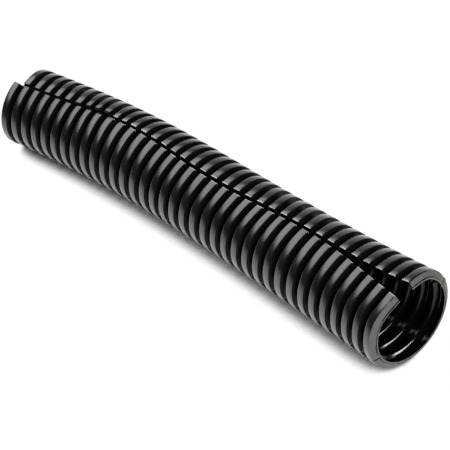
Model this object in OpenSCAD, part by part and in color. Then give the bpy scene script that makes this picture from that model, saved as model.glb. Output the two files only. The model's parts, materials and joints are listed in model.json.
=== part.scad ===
// Split corrugated loom tube: one moulded length of black plastic conduit, slit
// from end to end so that wires can be laid in from the side. The open mouth points
// along +X and the tube lies along X with +Z up. The origin is on the bore axis, in
// the first full-size valley behind the mouth.

/* [Tube] */
// Diameter over the crests of the ribs
outer_d = 31.2; // [29.6:0.1:36]
// Clear diameter of the bore, inside the valleys
bore_d = 25.5; // [22:0.1:27]
// Thickness of the moulded wall
wall = 0.65; // [0.45:0.05:0.9]

/* [Ribs] */
// Distance from one rib to the next
pitch = 5.1; // [4.9:0.05:7]
// Width of a crest, over its rounded shoulders
crest_w = 2.8; // [2:0.05:2.95]
// Length along the tube of each sloping flank
flank_run = 0.9; // [0.4:0.05:1]
// Radius of the shoulder between crest and flank
shoulder_r = 0.5; // [0.2:0.05:0.8]

/* [Lengths] */
// Ribs in the stretch that is spread open behind the mouth
mouth_ribs = 9; // [4:1:12]
// Ribs in the straight stretch behind it
straight_ribs = 5; // [4:1:14]
// Ribs in the bent stretch, out to the far end
bent_ribs = 22; // [8:1:30]

/* [Set of the tube] */
// How far the far stretch turns towards -Y, in degrees
bend_angle = 9; // [3:0.5:20]
// How much the radius grows at the mouth, where the slit is spread
mouth_spread = 2; // [0.4:0.1:2.4]

/* [Slit] */
// Width of the slit along the tube
slit_w = 1.3; // [0.5:0.1:2]
// Width of the slit at the mouth
mouth_gap = 6; // [3:0.1:10]
// Length behind the mouth in which the slit closes to its width
gap_length = 31; // [15:1:45]
// Lean of the slit from the top towards -Y, in degrees
slit_lean = 15.5; // [0:0.5:40]
// How far the slit waves to either side along the tube
slit_wave = 1; // [0:0.1:2]
// Length of one such wave, counted from the mouth
wave_length = 87; // [60:1:200]
// How far the slit has wandered towards -Y by the far end
slit_drift = 2.4; // [0:0.1:4]
// Length of the far stretch in which it has wandered
drift_length = 43; // [30:1:80]

/* [Hidden] */
$fn = 96;
shoulder_steps = 2;

outer_r = outer_d / 2;
bore_r = bore_d / 2;
valley_r = bore_r + wall;
depth = outer_r - valley_r;
slope = flank_run / depth;
flank_angle = atan(slope);
// The wall measured along the tube where it crosses a flank
flank_wall = wall / cos(flank_angle);
// How deep the ribs reach into the solid that carries them before the two are joined
root = 0.3;
// The cut for the slit runs this far past the tube
past = 3;
// Straight pieces in each edge of the slit, where it is spread and behind that
gap_steps = 5;
slit_steps = 16;

// A rib's centre, counted from the mouth; rib mouth_ribs is the first full-size one
function rib_x(i) = (mouth_ribs + 0.5 - i) * pitch;
last_straight = mouth_ribs + straight_ribs - 1;
mouth_x = rib_x(-0.5);
flare_x = rib_x(mouth_ribs);
bend_x = rib_x(last_straight);
flare_angle = atan(mouth_spread / (mouth_x - flare_x));
bent_length = (bent_ribs + 0.5) * pitch;
bend_r = bent_length / (bend_angle * PI / 180);
tube_length = mouth_x - bend_x + bent_length;

// Distance of a flank's outer face from its rib's centre, at a depth below the crest
function flank_x(d) = crest_w / 2 + d * slope;

// Half of a rib's outline as [distance from its centre, radius]: outside, then inside
function outer_half(r) = let (back = shoulder_r * tan((90 - flank_angle) / 2))
    concat([for (s = [0:shoulder_steps])
                let (a = 90 - s * (90 - flank_angle) / shoulder_steps)
                [crest_w / 2 - back + shoulder_r * cos(a), r - shoulder_r + shoulder_r * sin(a)]],
           [[flank_x(depth), r - depth]]);
function inner_half(r) =
    [[flank_x(wall) - flank_wall, r - wall], [flank_x(depth + wall) - flank_wall, r - depth - wall]];

// The same half carried on below the valley, so that it crosses the core cleanly
function rooted(half) =
    let (n = len(half) - 1, foot = half[n])
    concat([for (k = [0:n - 1]) half[k]], [[foot[0] + root * slope, foot[1] - root]]);

// A whole rib about x, from its mouth side to its far side
function rib_outline(x, near_half, far_half) =
    concat([for (k = [len(near_half) - 1:-1:0]) [x + near_half[k][0], near_half[k][1]]],
           [for (p = far_half) [x - p[0], p[1]]]);

// Turns an outline of [x, radius] points, closed along the axis, about X
module turned(outline) {
    closed = concat([[outline[0][0], 0]], outline, [[outline[len(outline) - 1][0], 0]]);
    rotate([90, 0, 90]) rotate_extrude() polygon([for (p = closed) [p[1], p[0]]]);
}

function half_of(inside, r) = inside ? inner_half(r) : outer_half(r);
function core_r(inside) = inside ? bore_r : valley_r;

// Places its children on the bent axis, an angle past the start of the bend
module on_bend(angle) {
    translate([bend_x, -bend_r, 0]) rotate([0, 0, angle]) translate([0, bend_r, 0]) children();
}

// Everything inside the tube's outer skin, or inside its inner skin
module filled(inside) {
    half = half_of(inside, outer_r);
    // past the ends, so that the bore opens through them
    over = inside ? 1 : 0;

    // spread stretch, on an axis that rises so that the underside stays level
    grow = tan(flare_angle);
    translate([flare_x, 0, 0]) rotate([0, -flare_angle, 0]) translate([-flare_x, 0, 0])
        turned(concat(
            [[mouth_x + over, core_r(inside) + (mouth_x + over - flare_x) * grow]],
            [for (i = [0:mouth_ribs - 1], p = rib_outline(rib_x(i), half, half))
                [p[0], p[1] + (p[0] - flare_x) * grow]],
            [[flare_x, core_r(inside)]]));

    // straight stretch
    turned([for (i = [mouth_ribs:last_straight])
        each rib_outline(rib_x(i), i == mouth_ribs ? rooted(half) : half,
                         i == last_straight ? rooted(half) : half)]);

    // bent stretch: a bent core and a rib every pitch along it
    turn = bend_angle / bent_length;
    translate([bend_x, -bend_r, 0]) rotate([0, 0, 90])
        rotate_extrude(angle = (bent_length + over) * turn) translate([bend_r, 0])
            circle(r = core_r(inside));
    for (i = [1:bent_ribs])
        on_bend(i * pitch * turn) turned(rib_outline(0, rooted(half), rooted(half)));
}

// Distances from the mouth, along the tube, at which the slit's edges have a corner
slit_stations = concat(
    [-past],
    [for (k = [0:gap_steps - 1]) k * gap_length / gap_steps],
    [for (k = [0:slit_steps]) gap_length + k * (tube_length + past - gap_length) / slit_steps]);

// Half of the slit's width at a distance from the mouth
function slit_half(d) =
    let (open = max(0, 1 - d / gap_length))
    slit_w / 2 + (mouth_gap - slit_w) / 2 * open * open;

// How far the slit has wandered there; it drifts in the first half of the far stretch
function wander(d) =
    let (t = max(0, min(1, (d - (tube_length - drift_length)) / (drift_length / 2))))
    slit_wave * cos(360 * d / wave_length) + slit_drift * t * t * (3 - 2 * t);

// The slit's centre there, seen along its lean
function slit_point(d) =
    let (s = d - (mouth_x - bend_x), a = max(0, s) / bend_r * 180 / PI)
    [bend_x - min(0, s) - bend_r * sin(a), -bend_r * (1 - cos(a)) * cos(slit_lean) - wander(d)];

module slit() {
    rotate([slit_lean, 0, 0]) linear_extrude(height = outer_d + mouth_spread)
        polygon(concat(
            [for (d = slit_stations) slit_point(d) + [0, slit_half(d)]],
            [for (k = [len(slit_stations) - 1:-1:0])
                slit_point(slit_stations[k]) - [0, slit_half(slit_stations[k])]]));
}

module conduit() {
    color([0.09, 0.09, 0.095]) difference() {
        filled(false);
        filled(true);
        slit();
    }
}

conduit();
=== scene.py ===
import json
from math import atan2, cos, hypot, pi, radians, sin

import bpy
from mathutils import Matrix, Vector


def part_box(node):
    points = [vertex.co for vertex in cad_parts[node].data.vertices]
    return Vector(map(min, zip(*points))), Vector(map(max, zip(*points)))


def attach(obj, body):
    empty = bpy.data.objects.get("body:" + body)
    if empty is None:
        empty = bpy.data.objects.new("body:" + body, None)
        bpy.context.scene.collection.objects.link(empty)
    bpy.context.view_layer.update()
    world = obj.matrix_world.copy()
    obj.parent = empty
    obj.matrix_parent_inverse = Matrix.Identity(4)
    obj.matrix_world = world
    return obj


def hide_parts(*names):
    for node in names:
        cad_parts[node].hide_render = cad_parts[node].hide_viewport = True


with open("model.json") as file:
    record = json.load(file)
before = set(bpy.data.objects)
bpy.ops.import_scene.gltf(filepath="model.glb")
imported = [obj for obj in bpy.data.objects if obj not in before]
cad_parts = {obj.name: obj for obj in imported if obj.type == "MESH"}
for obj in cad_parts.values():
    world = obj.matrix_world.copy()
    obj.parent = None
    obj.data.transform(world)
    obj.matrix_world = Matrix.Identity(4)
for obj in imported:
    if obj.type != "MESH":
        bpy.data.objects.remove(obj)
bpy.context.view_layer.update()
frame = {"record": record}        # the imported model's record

mm = 0.001
mounts = {mount["name"]: mount["dims"]["r_mm"] * mm for mount in frame["record"]["mounts"]}
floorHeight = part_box("conduit")[0].z
print("frame loaded")


def smooth(t):
    t = max(0.0, min(1.0, t))
    return t * t * (3 - 2 * t)


def takeOnly(piece):
    bpy.ops.object.select_all(action="DESELECT")
    piece.select_set(True)
    bpy.context.view_layer.objects.active = piece


def applyModifier(piece, kind, **settings):
    takeOnly(piece)
    modifier = piece.modifiers.new(kind.title(), kind)
    for name, value in settings.items():
        setattr(modifier, name, value)
    bpy.ops.object.modifier_apply(modifier=modifier.name)


# one black plastic, finished differently on the crests, in the bore and on the cut faces; the
# valleys carry painted shade, the mouth's flank a painted light grey for its reflection, and
# the cut edges a painted highlight
finishesAndPaintedLight = {
    "satin": {"dark": 0.002, "light": 0.005, "roughness": (0.20, 0.33), "specular": 1.0,
              "grain": 0.35 * mm, "grainHeight": 0.014 * mm},
    # painted shade: the valleys and the other recesses are given almost no reflection
    "deep": {"dark": 0.005, "light": 0.008, "roughness": (0.20, 0.28), "specular": 0.05,
             "grain": 0.30 * mm, "grainHeight": 0.006 * mm},
    # painted reflection: the mouth's flank and end face are painted light grey
    "flank": {"dark": 0.185, "light": 0.24, "roughness": (0.45, 0.60), "specular": 0.15,
              "grain": 0.25 * mm, "grainHeight": 0.020 * mm},
    "gloss": {"dark": 0.003, "light": 0.005, "roughness": (0.10, 0.16), "specular": 0.25,
              "grain": 0.80 * mm, "grainHeight": 0.004 * mm},
    "lip": {"dark": 0.006, "light": 0.012, "roughness": (0.28, 0.36), "specular": 0.6,
            "grain": 0.15 * mm, "grainHeight": 0.010 * mm},
    # painted highlight: the bevels along the crest ends at the slit are painted light
    "edgeHighlight": {"dark": 0.25, "light": 0.80, "roughness": (0.45, 0.60), "specular": 0.5,
             "grain": 0.15 * mm, "grainHeight": 0.010 * mm},
}
slots = list(finishesAndPaintedLight)

texture = {
    "cloud": 7 * mm,        # size of the slow change of shade along the tube
    "cloudDetail": 4,
    "cloudEdges": (0.3, 0.7),       # where it is fully dark and fully light
    "blue": (0.98, 0.97),       # the dark and the light shade are a touch warm
    "grainDetail": 3,
    "drawn": (1, 0.12, 0.12),       # the moulded grain is drawn out round the rings
}


def plastic(name):
    finishOrPaintedLight = finishesAndPaintedLight[name]
    material = bpy.data.materials.new(name + "BlackPlastic")
    material.use_nodes = True
    nodes, links = material.node_tree.nodes, material.node_tree.links
    shader = nodes["Principled BSDF"]
    shader.inputs["Specular IOR Level"].default_value = finishOrPaintedLight["specular"]
    place = nodes.new("ShaderNodeTexCoord")

    cloud = nodes.new("ShaderNodeTexNoise")
    cloud.inputs["Scale"].default_value = 1 / texture["cloud"]
    cloud.inputs["Detail"].default_value = texture["cloudDetail"]
    links.new(place.outputs["Object"], cloud.inputs["Vector"])
    shade = nodes.new("ShaderNodeValToRGB")
    for number, key in enumerate(("dark", "light")):
        stop = shade.color_ramp.elements[number]
        stop.position = texture["cloudEdges"][number]
        stop.color = (finishOrPaintedLight[key], finishOrPaintedLight[key], finishOrPaintedLight[key] * texture["blue"][number], 1)
    links.new(cloud.outputs["Fac"], shade.inputs["Fac"])
    links.new(shade.outputs["Color"], shader.inputs["Base Color"])

    drawn = nodes.new("ShaderNodeVectorMath")
    drawn.operation = "MULTIPLY"
    drawn.inputs[1].default_value = texture["drawn"]
    links.new(place.outputs["Object"], drawn.inputs[0])
    grain = nodes.new("ShaderNodeTexNoise")
    grain.inputs["Scale"].default_value = 1 / finishOrPaintedLight["grain"]
    grain.inputs["Detail"].default_value = texture["grainDetail"]
    links.new(drawn.outputs["Vector"], grain.inputs["Vector"])
    polish = nodes.new("ShaderNodeMapRange")
    for end, value in zip(("To Min", "To Max"), finishOrPaintedLight["roughness"]):
        polish.inputs[end].default_value = value
    links.new(grain.outputs["Fac"], polish.inputs["Value"])
    links.new(polish.outputs["Result"], shader.inputs["Roughness"])
    bump = nodes.new("ShaderNodeBump")
    bump.inputs["Distance"].default_value = finishOrPaintedLight["grainHeight"]
    links.new(grain.outputs["Fac"], bump.inputs["Height"])
    links.new(bump.outputs["Normal"], shader.inputs["Normal"])
    return material


# places along the conduit are counted in ribs: -0.5 at the mouth, 0 on the first rib
tube = {
    "outerRadius": mounts["crests"],
    "boreRadius": mounts["bore"],
    "wall": 0.65 * mm,
    "pitch": 5.1 * mm,
    "ribs": 36,
    "columns": 90,          # edges round the ring, one of which becomes the slit
    "crestWidth": 2.60 * mm,
    "flankRun": 0.95 * mm,
    "cornerRound": 0.24 * mm,
    "smoothAngle": 42,      # degrees up to which two faces are shaded as one
    "mouthTrim": 0.20 * mm,     # cut off the last valley, so that the flank meets the mouth

    "firstValley": 9.5,     # the valley at the origin
    "bendStart": 9,
    "bendTurn": 11.9,       # degrees by the far end, tighter and tighter
    "growthStart": 16.4,    # the rib from which the tube starts to spread
    "mouthGrowth": 1.94 * mm,
    "growthPower": 2.09,
    "dropStart": 21,        # the rib behind which the tube gets slimmer and sags
    "dropEnd": 38,
    "farShrink": 0.6 * mm,  # of the radius
    "farDrop": 1.0 * mm,
    "ringYaw": -1.8,        # degrees the ribs stand askew on the axis
    "mouthYaw": -2.4,       # and the more of it by the mouth
    "mouthYawStart": 10,

    "slitLean": 15.5,       # degrees from the top towards -Y
    "slitWave": 1.0 * mm,
    "waveRibs": 17,
    "slitDrift": 0.6 * mm,
    "driftRibs": 8.5,       # the far stretch where the slit has drifted
    "slitWidth": 1.4 * mm,
    "mouthGap": 6.8 * mm,
    "gapRibs": 8,
    "farSlit": 0.08 * mm,
    "closeRibs": 12,        # the far stretch where the slit closes
    "grooveWidth": 1.1 * mm,        # closed, it is a groove
    "grooveFloor": 0.6 * mm,        # whose lips meet this far above the valleys
    "lipBevel": 0.26 * mm,

    "slips": (              # how far the soft rings have slipped towards the mouth, in mm:
        # rib, whole ring, front lip, back of the ring, back lip
        (0, -0.1, 1.3, -0.4, 1.3),
        (4, 0.7, 1.4, 0.2, 1.1),
        (6.5, 0.8, 1.1, -0.4, 0.7),
        (9, 0.0, 0.5, -1.9, 0.1),
        (12, 0.0, 1.2, -2.1, -0.1),
        (15, 0.0, 1.0, -1.2, -0.5),
        (18, -0.2, 0.4, -1.6, -1.1),
        (21, 0.2, 0.7, -1.0, -0.8),
        (24, 0.1, -0.1, -1.0, -1.1),
        (27, -0.1, -0.8, -1.0, 0.8),
        (30, -0.1, 0.2, 0.8, 3.2),
        (34, 0.0, 0.1, 2.6, 4.0)),
    "frontReach": 0.13,     # how far round the ring the front lip's slip reaches
    "backPlace": 0.86,      # and where the back of the ring is

    "partingAngles": (118, 298),    # degrees from the top towards -Y
    "partingWidth": 0.28 * mm,
    "partingDepth": 0.26 * mm,
    "partingFace": 1.2 * mm * mm,   # a face of it on the mouth's flank, painted with shade, is smaller than this
    "fineFace": 0.4 * mm * mm,      # and one of the line of painted shade round the mouth smaller than this
}


def ribProfile():
    # one pitch from valley to valley, its corners still sharp: (distance along, radius)
    crest, valley = tube["crestWidth"] / 2, tube["pitch"] / 2
    top, low = tube["outerRadius"], tube["boreRadius"] + tube["wall"]
    foot = crest + tube["flankRun"]
    return [(-valley, low), (-foot, low), (-crest, top),
            (crest, top), (foot, low), (valley, low)]


def modelRib():
    # an open ring with the missing edge at the top, drawn out along one rib's profile
    profile = ribProfile()
    bpy.ops.object.select_all(action="DESELECT")
    bpy.ops.mesh.primitive_circle_add(
        vertices=tube["columns"], radius=profile[0][1], fill_type="NOTHING",
        location=(profile[0][0], 0, 0), rotation=(0, pi / 2, 0))
    rib = bpy.context.active_object
    rib.name = "corrugatedTube"
    bpy.ops.object.transform_apply(location=True, rotation=True, scale=True)
    mesh = rib.data
    heights = [sum(mesh.vertices[v].co.z for v in edge.vertices) for edge in mesh.edges]
    topEdge = heights.index(max(heights))
    for group in (mesh.vertices, mesh.edges):
        group.foreach_set("select", [False] * len(group))
    mesh.edges[topEdge].select = True
    bpy.ops.object.mode_set(mode="EDIT")
    bpy.ops.mesh.select_mode(type="EDGE")
    bpy.ops.mesh.delete(type="EDGE")
    bpy.ops.mesh.select_all(action="SELECT")
    for (x0, r0), (x1, r1) in zip(profile, profile[1:]):
        bpy.ops.mesh.extrude_edges_move(TRANSFORM_OT_translate={"value": (x1 - x0, 0, 0)})
        bpy.ops.transform.resize(value=(1, r1 / r0, r1 / r0), center_override=(x1, 0, 0))
    bpy.ops.object.mode_set(mode="OBJECT")
    return rib


def dropAt(rib):
    return smooth((rib - tube["dropStart"]) / (tube["dropEnd"] - tube["dropStart"]))


def growthAt(rib):
    # how much larger the ring is there, at the mouth and less than nothing at the far end
    start = tube["growthStart"]
    return (tube["mouthGrowth"] * (max(0.0, start - rib) / start) ** tube["growthPower"]
            - tube["farShrink"] * dropAt(rib))


def heightAt(rib):
    return growthAt(rib) - tube["farDrop"] * dropAt(rib)


def axisAt(rib):
    # centre of the ring, the way it faces and how steeply the axis rises there
    pitch = tube["pitch"]
    along = (tube["firstValley"] - rib) * pitch
    bent = max(0.0, rib - tube["bendStart"]) * pitch
    stretch = (tube["ribs"] - 0.5 - tube["bendStart"]) * pitch
    turn = radians(tube["bendTurn"]) * (bent / stretch) ** 2
    x = along + bent * turn ** 2 / 10       # where a turn that grows with the square leads
    y = -bent * turn / 3
    rise = (heightAt(rib - 0.5) - heightAt(rib + 0.5)) / pitch
    start = tube["mouthYawStart"]
    yaw = turn + radians(
        tube["ringYaw"] + tube["mouthYaw"] * smooth((start - rib) / (start + 0.5)))
    return Vector((x, y, heightAt(rib))), yaw, rise


def openAt(rib):
    # how open the slit is there, 0 at the far end
    return smooth((tube["ribs"] - 0.5 - rib) / tube["closeRibs"])


def slitAt(rib):
    # the slit's lean from the top towards -Y and its half width, as angles
    radius = tube["outerRadius"] + growthAt(rib)
    far = tube["ribs"] - 0.5 - rib
    wander = (tube["slitWave"] * cos(2 * pi * (rib + 0.5) / tube["waveRibs"])
              + tube["slitDrift"] * smooth(2 - 2 * far / tube["driftRibs"]))
    spread = max(0.0, 1 - (rib + 0.5) / tube["gapRibs"]) ** 2
    plain = tube["farSlit"] + (tube["slitWidth"] - tube["farSlit"]) * openAt(rib)
    width = plain + (tube["mouthGap"] - plain) * spread
    return radians(tube["slitLean"]) + wander / radius, width / 2 / radius


def slipsAt(rib):
    rows = tube["slips"]
    for low, high in zip(rows, rows[1:]):
        if rib <= high[0]:
            t = smooth((rib - low[0]) / (high[0] - low[0]))
            return [(a + (b - a) * t) * mm for a, b in zip(low[1:], high[1:])]
    return [a * mm for a in rows[-1][1:]]


def slideAt(slips, around):
    ring, front, back, lip = slips
    if around < 0.5:
        return front + (ring - front) * smooth(around / tube["frontReach"])
    if around < tube["backPlace"]:
        return ring + (back - ring) * smooth((around - 0.5) / (tube["backPlace"] - 0.5))
    return back + (lip - back) * smooth((around - tube["backPlace"]) / (1 - tube["backPlace"]))


def aroundOf(y, z):
    # place round the straight ring, 0 at the front lip and 1 at the back lip
    step = 2 * pi / tube["columns"]
    return (atan2(-y, z) % (2 * pi) - step / 2) / (2 * pi - step)


def ribOf(x):
    mouth = (tube["firstValley"] + 0.5) * tube["pitch"]
    return (mouth - x) / tube["pitch"] - 0.5


def paintTube(piece):
    # low between the ribs it is painted with shade, and so are the sides of the groove at the
    # far end; the mouth's own flank is painted light grey for its reflection
    crestLevel = 0.99 * tube["outerRadius"]
    mouthReach = -0.2       # in ribs, past the mouth's own flank
    grooved = 0.8       # from here on the slit is as good as closed
    lastColumn = 1 / (tube["columns"] - 1)
    for face in piece.data.polygons:
        x, y, z = face.center
        around = aroundOf(y, z)
        if hypot(y, z) < crestLevel:
            face.material_index = slots.index("flank" if ribOf(x) < mouthReach else "deep")
        elif min(around, 1 - around) < lastColumn and openAt(ribOf(x)) < grooved:
            face.material_index = slots.index("deep")


def setTube(piece):
    # the straight stock takes its bend, its spread mouth and its wandering slit
    step, last = 2 * pi / tube["columns"], tube["columns"] - 1
    trimReach = 0.01 * mm
    mouth = (tube["firstValley"] + 0.5) * tube["pitch"]
    partings = [radians(angle) for angle in tube["partingAngles"]]
    places = {}
    for vertex in piece.data.vertices:
        x, y, z = vertex.co
        if mouth - x < trimReach:
            x -= tube["mouthTrim"]
        rib = ribOf(x)
        key = round(rib, 4)
        if key not in places:
            places[key] = axisAt(rib) + slitAt(rib) + (slipsAt(rib),)
        centre, yaw, rise, lean, gap, slips = places[key]
        around = aroundOf(y, z)
        angle = lean + gap + around * (2 * pi - 2 * gap)
        radius = hypot(y, z) + growthAt(rib)
        closed = 1 - openAt(rib)
        column = round(around * last)
        if column in (0, last):
            floor = tube["boreRadius"] + tube["wall"] + tube["grooveFloor"] + growthAt(rib)
            radius -= max(0.0, radius - floor) * closed
        elif column in (1, last - 1):
            edge = tube["grooveWidth"] / 2 / radius
            edge = lean + (edge if column == 1 else 2 * pi - edge)
            angle += (edge - angle) * closed
        for parting in partings:
            off = (angle - parting + pi) % (2 * pi) - pi
            if abs(off) < step / 2:
                angle = parting
                radius -= tube["partingDepth"]
            elif abs(off) < 1.5 * step:
                angle = parting + (1 if off > 0 else -1) * tube["partingWidth"] / radius
        across = Vector((sin(yaw), -cos(yaw), 0))
        facing = Vector((cos(yaw), sin(yaw), rise)).normalized()
        up = across.cross(facing)
        slide = slideAt(slips, around)
        vertex.co = centre + radius * (sin(angle) * across + cos(angle) * up) + slide * facing
    piece.data.update()
    for face in piece.data.polygons:        # the parting line on the mouth's flank is painted with the recess shade
        if face.material_index == slots.index("flank") and face.area < tube["partingFace"]:
            face.material_index = slots.index("deep")


def modelTube():
    pitch = tube["pitch"]
    piece = modelRib()
    applyModifier(piece, "ARRAY", count=tube["ribs"], use_relative_offset=False,
                  use_constant_offset=True, constant_offset_displace=(pitch, 0, 0),
                  use_merge_vertices=True, merge_threshold=0.001 * mm)
    piece.location.x = (tube["firstValley"] - tube["ribs"] + 1) * pitch
    takeOnly(piece)
    bpy.ops.object.transform_apply(location=True, rotation=True, scale=True)
    paintTube(piece)
    setTube(piece)
    bpy.ops.object.mode_set(mode="EDIT")
    bpy.ops.mesh.select_all(action="SELECT")
    bpy.ops.mesh.normals_make_consistent(inside=False)
    bpy.ops.object.mode_set(mode="OBJECT")
    return piece


def roundEdges(piece, width, segments, wanted, finishOrPaintedLight=-1):
    # bevels the edges whose two faces are wanted
    mesh = piece.data
    sides = {}
    for face in mesh.polygons:
        for key in face.edge_keys:
            sides.setdefault(key, []).append(face)
    name = "bevel_weight_edge"
    weights = mesh.attributes.get(name) or mesh.attributes.new(name, "FLOAT", "EDGE")
    weights.data.foreach_set("value", [
        float(len(sides[edge.key]) == 2 and wanted(*sides[edge.key])) for edge in mesh.edges])
    applyModifier(piece, "BEVEL", width=width, segments=segments, limit_method="WEIGHT",
                  use_clamp_overlap=False, material=finishOrPaintedLight)


def finishTube(piece):
    # the moulded wall goes inwards; its folds are rounded, and a bevel painted with a highlight
    # runs along the slit
    shell = len(piece.data.polygons)
    applyModifier(piece, "SOLIDIFY", thickness=tube["wall"], offset=-1, use_even_offset=True,
                  use_rim=True)
    for number, face in enumerate(piece.data.polygons):
        if number >= shell:
            face.material_index = slots.index("gloss" if number < 2 * shell else "lip")
    lip, satin, flank = (slots.index(name) for name in ("lip", "satin", "flank"))
    steep = 0.5     # how far a normal leans along the tube

    def isFold(one, two):
        return (lip not in (one.material_index, two.material_index)
                and abs(one.normal.x - two.normal.x) > steep)

    def isCrestEnd(one, two):
        if one.material_index != lip:
            one, two = two, one
        return (one.material_index == lip and two.material_index == satin
                and abs(one.normal.x) < steep)

    roundEdges(piece, tube["cornerRound"], 2, isFold)
    # the crest ends at the slit are bevelled and painted with a highlight
    roundEdges(piece, tube["lipBevel"], 1, isCrestEnd, slots.index("edgeHighlight"))
    # the mouth's end is trimmed too and its end face takes the flank's painted light grey, with
    # a fine line of painted shade between its flank and the crest
    trimmed = (tube["firstValley"] + 0.2) * tube["pitch"]
    endOn = 0.8
    for face in piece.data.polygons:
        if face.material_index == lip and face.normal.x > endOn and face.center.x > 0:
            face.material_index = flank
        elif (face.center.x > trimmed and face.area < tube["fineFace"]
              and face.material_index in (satin, flank)):
            face.material_index = slots.index("deep")
    takeOnly(piece)
    bpy.ops.object.shade_smooth_by_angle(angle=radians(tube["smoothAngle"]))


conduit = modelTube()
print("ribs set, with the bend and the slit")
for name in slots:
    conduit.data.materials.append(plastic(name))
finishTube(conduit)
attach(conduit, "root")
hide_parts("conduit")
print("conduit modelled,", sum(len(f.vertices) - 2 for f in conduit.data.polygons), "triangles")


studio = {
    "floorSize": 6.0,
    "paperRoughness": 0.9,
    "seenPaper": (0.05, 0.05, 0.05, 1),     # the white the camera sees comes from its glow
    "litPaper": (0.55, 0.55, 0.55, 1),
    "contactReach": 0.05,       # how far the conduit's closeness shades the paper
    "contactShade": (0.20, 0.44),       # open sky at full shade and at none
    "contactSamples": 16,
    "dim": (0.03, 0.03, 0.03, 1),
    "sheet": (0.06, 0.016),     # the bright paper's reach to the right and to the front
    "sheetFade": 0.11,          # and how far past that it dims
    "frontSky": (0.07, 0.07, 0.07, 1),
    "backSky": (0.8, 0.8, 0.8, 1),
    "backWay": (-0.5, 0.86, 0.0),
    "backSpread": (46, 5),      # degrees to its edge and to its full light
    "softbox": {"place": (-0.42, -0.15, 0.60), "aim": (0, 0, 0),
                "size": (1.15, 0.6), "power": 6.0},
    "fill": {"place": (0.60, -0.20, 0.35), "aim": (0, 0, 0),
             "size": (0.5, 0.5), "power": 3.0},
    "mouthCard": {"place": (0.09, 0.022, -0.004), "aim": (0.045, -0.005, -0.008),
                  "size": (0.020, 0.006), "power": 0.014},
}

camera = {
    "place": (0.2583, -0.2821, 0.3204),
    "aim": (-0.02605, -0.00703, 0),
    "lens": 120,
    "nearest": 0.01,
}


def turnTo(thing, aim):
    thing.rotation_euler = (Vector(aim) - thing.location).to_track_quat("-Z", "Y").to_euler()


def easeNode(tree, source, start, end, low=0, high=1):
    node = tree.nodes.new("ShaderNodeMapRange")
    node.interpolation_type = "SMOOTHSTEP"
    for name, value in (("From Min", start), ("From Max", end),
                        ("To Min", low), ("To Max", high)):
        node.inputs[name].default_value = value
    tree.links.new(source, node.inputs["Value"])
    return node.outputs["Result"]


def vectorNode(tree, operation, source, other=(0, 0, 0)):
    node = tree.nodes.new("ShaderNodeVectorMath")
    node.operation = operation
    node.inputs[1].default_value = other
    tree.links.new(source, node.inputs[0])
    return node.outputs


def mathNode(tree, operation, one, two):
    node = tree.nodes.new("ShaderNodeMath")
    node.operation = operation
    tree.links.new(one, node.inputs[0])
    tree.links.new(two, node.inputs[1])
    return node.outputs[0]


def mixNode(tree, factor, one, two):
    node = tree.nodes.new("ShaderNodeMix")
    node.data_type = "RGBA"
    node.inputs["A"].default_value = one
    node.inputs["B"].default_value = two
    tree.links.new(factor, node.inputs["Factor"])
    return node.outputs["Result"]


def matt(shader, colour):
    shader.inputs["Base Color"].default_value = colour
    shader.inputs["Roughness"].default_value = studio["paperRoughness"]
    shader.inputs["Specular IOR Level"].default_value = 0
    shader.inputs["Emission Color"].default_value = (1, 1, 1, 1)
    return shader


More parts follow.
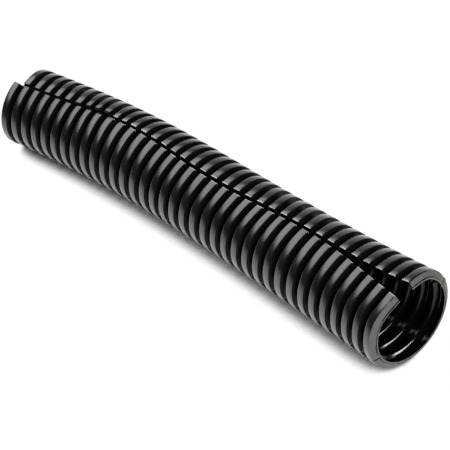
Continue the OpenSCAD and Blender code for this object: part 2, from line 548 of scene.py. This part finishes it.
def whitePaper():
    material = bpy.data.materials.new("whitePaper")
    material.use_nodes = True
    tree = material.node_tree
    nodes, links = tree.nodes, tree.links

    # seen straight or through glass, the paper is white all over but for its contact shade
    white = matt(nodes["Principled BSDF"], studio["seenPaper"])
    openness = nodes.new("ShaderNodeAmbientOcclusion")
    openness.samples = studio["contactSamples"]
    openness.inputs["Distance"].default_value = studio["contactReach"]
    contact = easeNode(tree, openness.outputs["AO"], *studio["contactShade"])
    links.new(contact, white.inputs["Emission Strength"])

    # in reflections it is bright round the conduit and dim farther off
    lit = matt(nodes.new("ShaderNodeBsdfPrincipled"), studio["litPaper"])
    place = nodes.new("ShaderNodeTexCoord").outputs["Object"]
    past = vectorNode(tree, "MULTIPLY", place, (1, -1, 0))["Vector"]
    past = vectorNode(tree, "SUBTRACT", past, (*studio["sheet"], 0))["Vector"]
    past = vectorNode(tree, "MAXIMUM", past)["Vector"]
    away = vectorNode(tree, "LENGTH", past)["Value"]
    near = easeNode(tree, away, 0, studio["sheetFade"], 1, 0)
    links.new(mixNode(tree, near, studio["dim"], studio["litPaper"]), lit.inputs["Base Color"])
    ray = nodes.new("ShaderNodeLightPath").outputs
    glow = mathNode(tree, "MULTIPLY", contact, near)
    glow = mathNode(tree, "MULTIPLY", glow, ray["Is Glossy Ray"])
    links.new(glow, lit.inputs["Emission Strength"])

    both = nodes.new("ShaderNodeMixShader")
    straight = mathNode(tree, "MAXIMUM", ray["Is Camera Ray"], ray["Is Transmission Ray"])
    links.new(straight, both.inputs[0])
    links.new(lit.outputs[0], both.inputs[1])
    links.new(white.outputs[0], both.inputs[2])
    links.new(both.outputs[0], nodes["Material Output"].inputs["Surface"])
    return material


def layFloor():
    bpy.ops.mesh.primitive_plane_add(
        size=studio["floorSize"], location=(0, 0, floorHeight - tube["farDrop"]))
    floor = bpy.context.active_object
    floor.name = "studioFloor"
    floor.data.materials.append(whitePaper())


def hangLight(name):
    box = studio[name]
    bpy.ops.object.light_add(type="AREA", location=box["place"])
    light = bpy.context.active_object
    light.name = name
    light.visible_camera = False
    light.data.shape = "RECTANGLE"
    light.data.size, light.data.size_y = box["size"]
    light.data.energy = box["power"]
    turnTo(light, box["aim"])
    return light


def lightSky():
    # a dim room with a white wall behind
    world = bpy.data.worlds.new("studioRoom")
    bpy.context.scene.world = world
    world.use_nodes = True
    tree = world.node_tree
    way = tree.nodes.new("ShaderNodeTexCoord").outputs["Generated"]
    back = vectorNode(tree, "DOT_PRODUCT", way, Vector(studio["backWay"]).normalized())["Value"]
    edge, full = (cos(radians(angle)) for angle in studio["backSpread"])
    sky = mixNode(tree, easeNode(tree, back, edge, full), studio["frontSky"], studio["backSky"])
    tree.links.new(sky, tree.nodes["Background"].inputs["Color"])


def setCamera():
    bpy.ops.object.camera_add(location=camera["place"])
    eye = bpy.context.active_object
    eye.name = "frontCamera"
    eye.data.lens = camera["lens"]
    eye.data.clip_start = camera["nearest"]
    turnTo(eye, camera["aim"])
    bpy.context.scene.camera = eye


layFloor()
hangLight("softbox")
hangLight("fill").visible_glossy = False        # only lifts the cut end
hangLight("mouthCard").visible_diffuse = False      # only its glint in the bore
lightSky()
setCamera()
bpy.context.scene.view_settings.view_transform = "Standard"
print("studio set")
